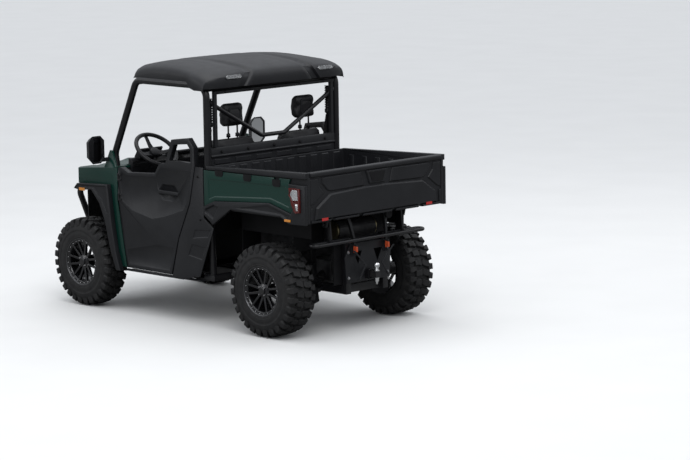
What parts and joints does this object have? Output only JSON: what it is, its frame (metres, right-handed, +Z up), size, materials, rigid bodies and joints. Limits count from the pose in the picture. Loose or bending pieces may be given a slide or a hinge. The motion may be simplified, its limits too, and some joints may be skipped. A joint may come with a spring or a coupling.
{
  "type": "side by side utility vehicle",
  "caption": "Side by side utility vehicle with half doors, hard roof, roll cage, tilting cargo bed with tailgate, lifting hood and mud tyres.",
  "frame": {"origin": "on the ground, midway between the axles", "axes": "+X forward, +Y to the driver's side, +Z up"},
  "size_m": [3.02, 1.82, 1.9453],
  "materials": {
    "black_steel": "satin black paint",
    "engine_metal": "cast aluminium",
    "muffler_steel": "stainless steel, heat tinted",
    "chrome": "chromed steel",
    "dark_steel": "dark cast steel",
    "moulded_black": "textured black plastic",
    "green_panel": "dark metallic green",
    "seat_cover": "black vinyl and fabric",
    "grip": "soft black grip",
    "clear_lens": "clear lens",
    "tail_lens": "red and clear lens",
    "tyre_rubber": "black mud tyre",
    "black_alloy": "gloss black alloy"
  },
  "bodies": {
    "chassis": {"frame": "black_steel", "engine": "engine_metal", "muffler": "muffler_steel", "rear_plate": "black_steel", "hitch": "chrome", "rear_loop": "black_steel", "suspension_arms": "black_steel", "shocks": "dark_steel", "half_shafts": "dark_steel", "rear_knuckles": "dark_steel", "floor": "moulded_black", "seat_cushions": "seat_cover", "seat_backs": "seat_cover", "dash": "moulded_black", "cage_sides": "black_steel", "cage_cross": "black_steel", "rear_cab_panel": "moulded_black", "roof": "moulded_black", "roof_lamps": "clear_lens", "mirrors": "moulded_black", "side_panels": "moulded_black", "quarter_panels": "green_panel", "front_flares": "moulded_black", "front_fascia": "moulded_black", "front_lamps": "clear_lens", "front_bar": "black_steel"},
    "knuckle_left": {"knuckle_left": "dark_steel"},
    "knuckle_right": {"knuckle_right": "dark_steel"},
    "wheel_front_left": {"tyre_front_left": "tyre_rubber", "rim_front_left": "black_alloy"},
    "wheel_front_right": {"tyre_front_right": "tyre_rubber", "rim_front_right": "black_alloy"},
    "wheel_rear_left": {"tyre_rear_left": "tyre_rubber", "rim_rear_left": "black_alloy"},
    "wheel_rear_right": {"tyre_rear_right": "tyre_rubber", "rim_rear_right": "black_alloy"},
    "steering_wheel": {"steering_wheel": "grip"},
    "hood": {"hood": "green_panel"},
    "door_left": {"door_left": "moulded_black"},
    "door_right": {"door_right": "moulded_black"},
    "bed": {"bed_tub": "moulded_black", "bed_sides": "green_panel", "bed_flares": "moulded_black", "tail_lamps": "tail_lens"},
    "tailgate": {"tailgate": "moulded_black"}
  },
  "joints": [
    {"name": "steer_left", "type": "hinge", "parent": "chassis", "child": "knuckle_left", "pos_m": [1.025, 0.52, 0.343], "axis": [0, 0, 1], "range_deg": [-32, 32]},
    {"name": "steer_right", "type": "hinge", "parent": "chassis", "child": "knuckle_right", "pos_m": [1.025, -0.52, 0.343], "axis": [0, 0, 1], "range_deg": [-32, 32]},
    {"name": "steering_turn", "type": "hinge", "parent": "chassis", "child": "steering_wheel", "pos_m": [0.5, 0.385, 1.225], "axis": [-0.6428, 0, 0.766], "range_deg": [-260, 260]},
    {"name": "wheel_front_left_spin", "type": "hinge", "parent": "knuckle_left", "child": "wheel_front_left", "pos_m": [1.025, 0.634, 0.343], "axis": [0, 1, 0], "continuous": true},
    {"name": "wheel_front_right_spin", "type": "hinge", "parent": "knuckle_right", "child": "wheel_front_right", "pos_m": [1.025, -0.634, 0.343], "axis": [0, 1, 0], "continuous": true},
    {"name": "wheel_rear_left_spin", "type": "hinge", "parent": "chassis", "child": "wheel_rear_left", "pos_m": [-1.025, 0.612, 0.343], "axis": [0, 1, 0], "continuous": true},
    {"name": "wheel_rear_right_spin", "type": "hinge", "parent": "chassis", "child": "wheel_rear_right", "pos_m": [-1.025, -0.612, 0.343], "axis": [0, 1, 0], "continuous": true},
    {"name": "door_left_swing", "type": "hinge", "parent": "chassis", "child": "door_left", "pos_m": [0.573, 0.708, 0.96], "axis": [0, 0, -1], "range_deg": [0, 70]},
    {"name": "door_right_swing", "type": "hinge", "parent": "chassis", "child": "door_right", "pos_m": [0.573, -0.708, 0.96], "axis": [0, 0, 1], "range_deg": [0, 70]},
    {"name": "hood_lift", "type": "hinge", "parent": "chassis", "child": "hood", "pos_m": [0.676, 0, 1.104], "axis": [0, -1, 0], "range_deg": [0, 60]},
    {"name": "bed_tilt", "type": "hinge", "parent": "chassis", "child": "bed", "pos_m": [-1.36, 0, 0.826], "axis": [0, -1, 0], "range_deg": [0, 40]},
    {"name": "tailgate_drop", "type": "hinge", "parent": "bed", "child": "tailgate", "pos_m": [-1.47, 0, 0.887], "axis": [0, -1, 0], "range_deg": [0, 90]}
  ],
  "couplings": [
    {"joint": "steer_right", "follows": "steer_left", "ratio": 1},
    {"joint": "steering_turn", "follows": "steer_left", "ratio": 8}
  ]
}
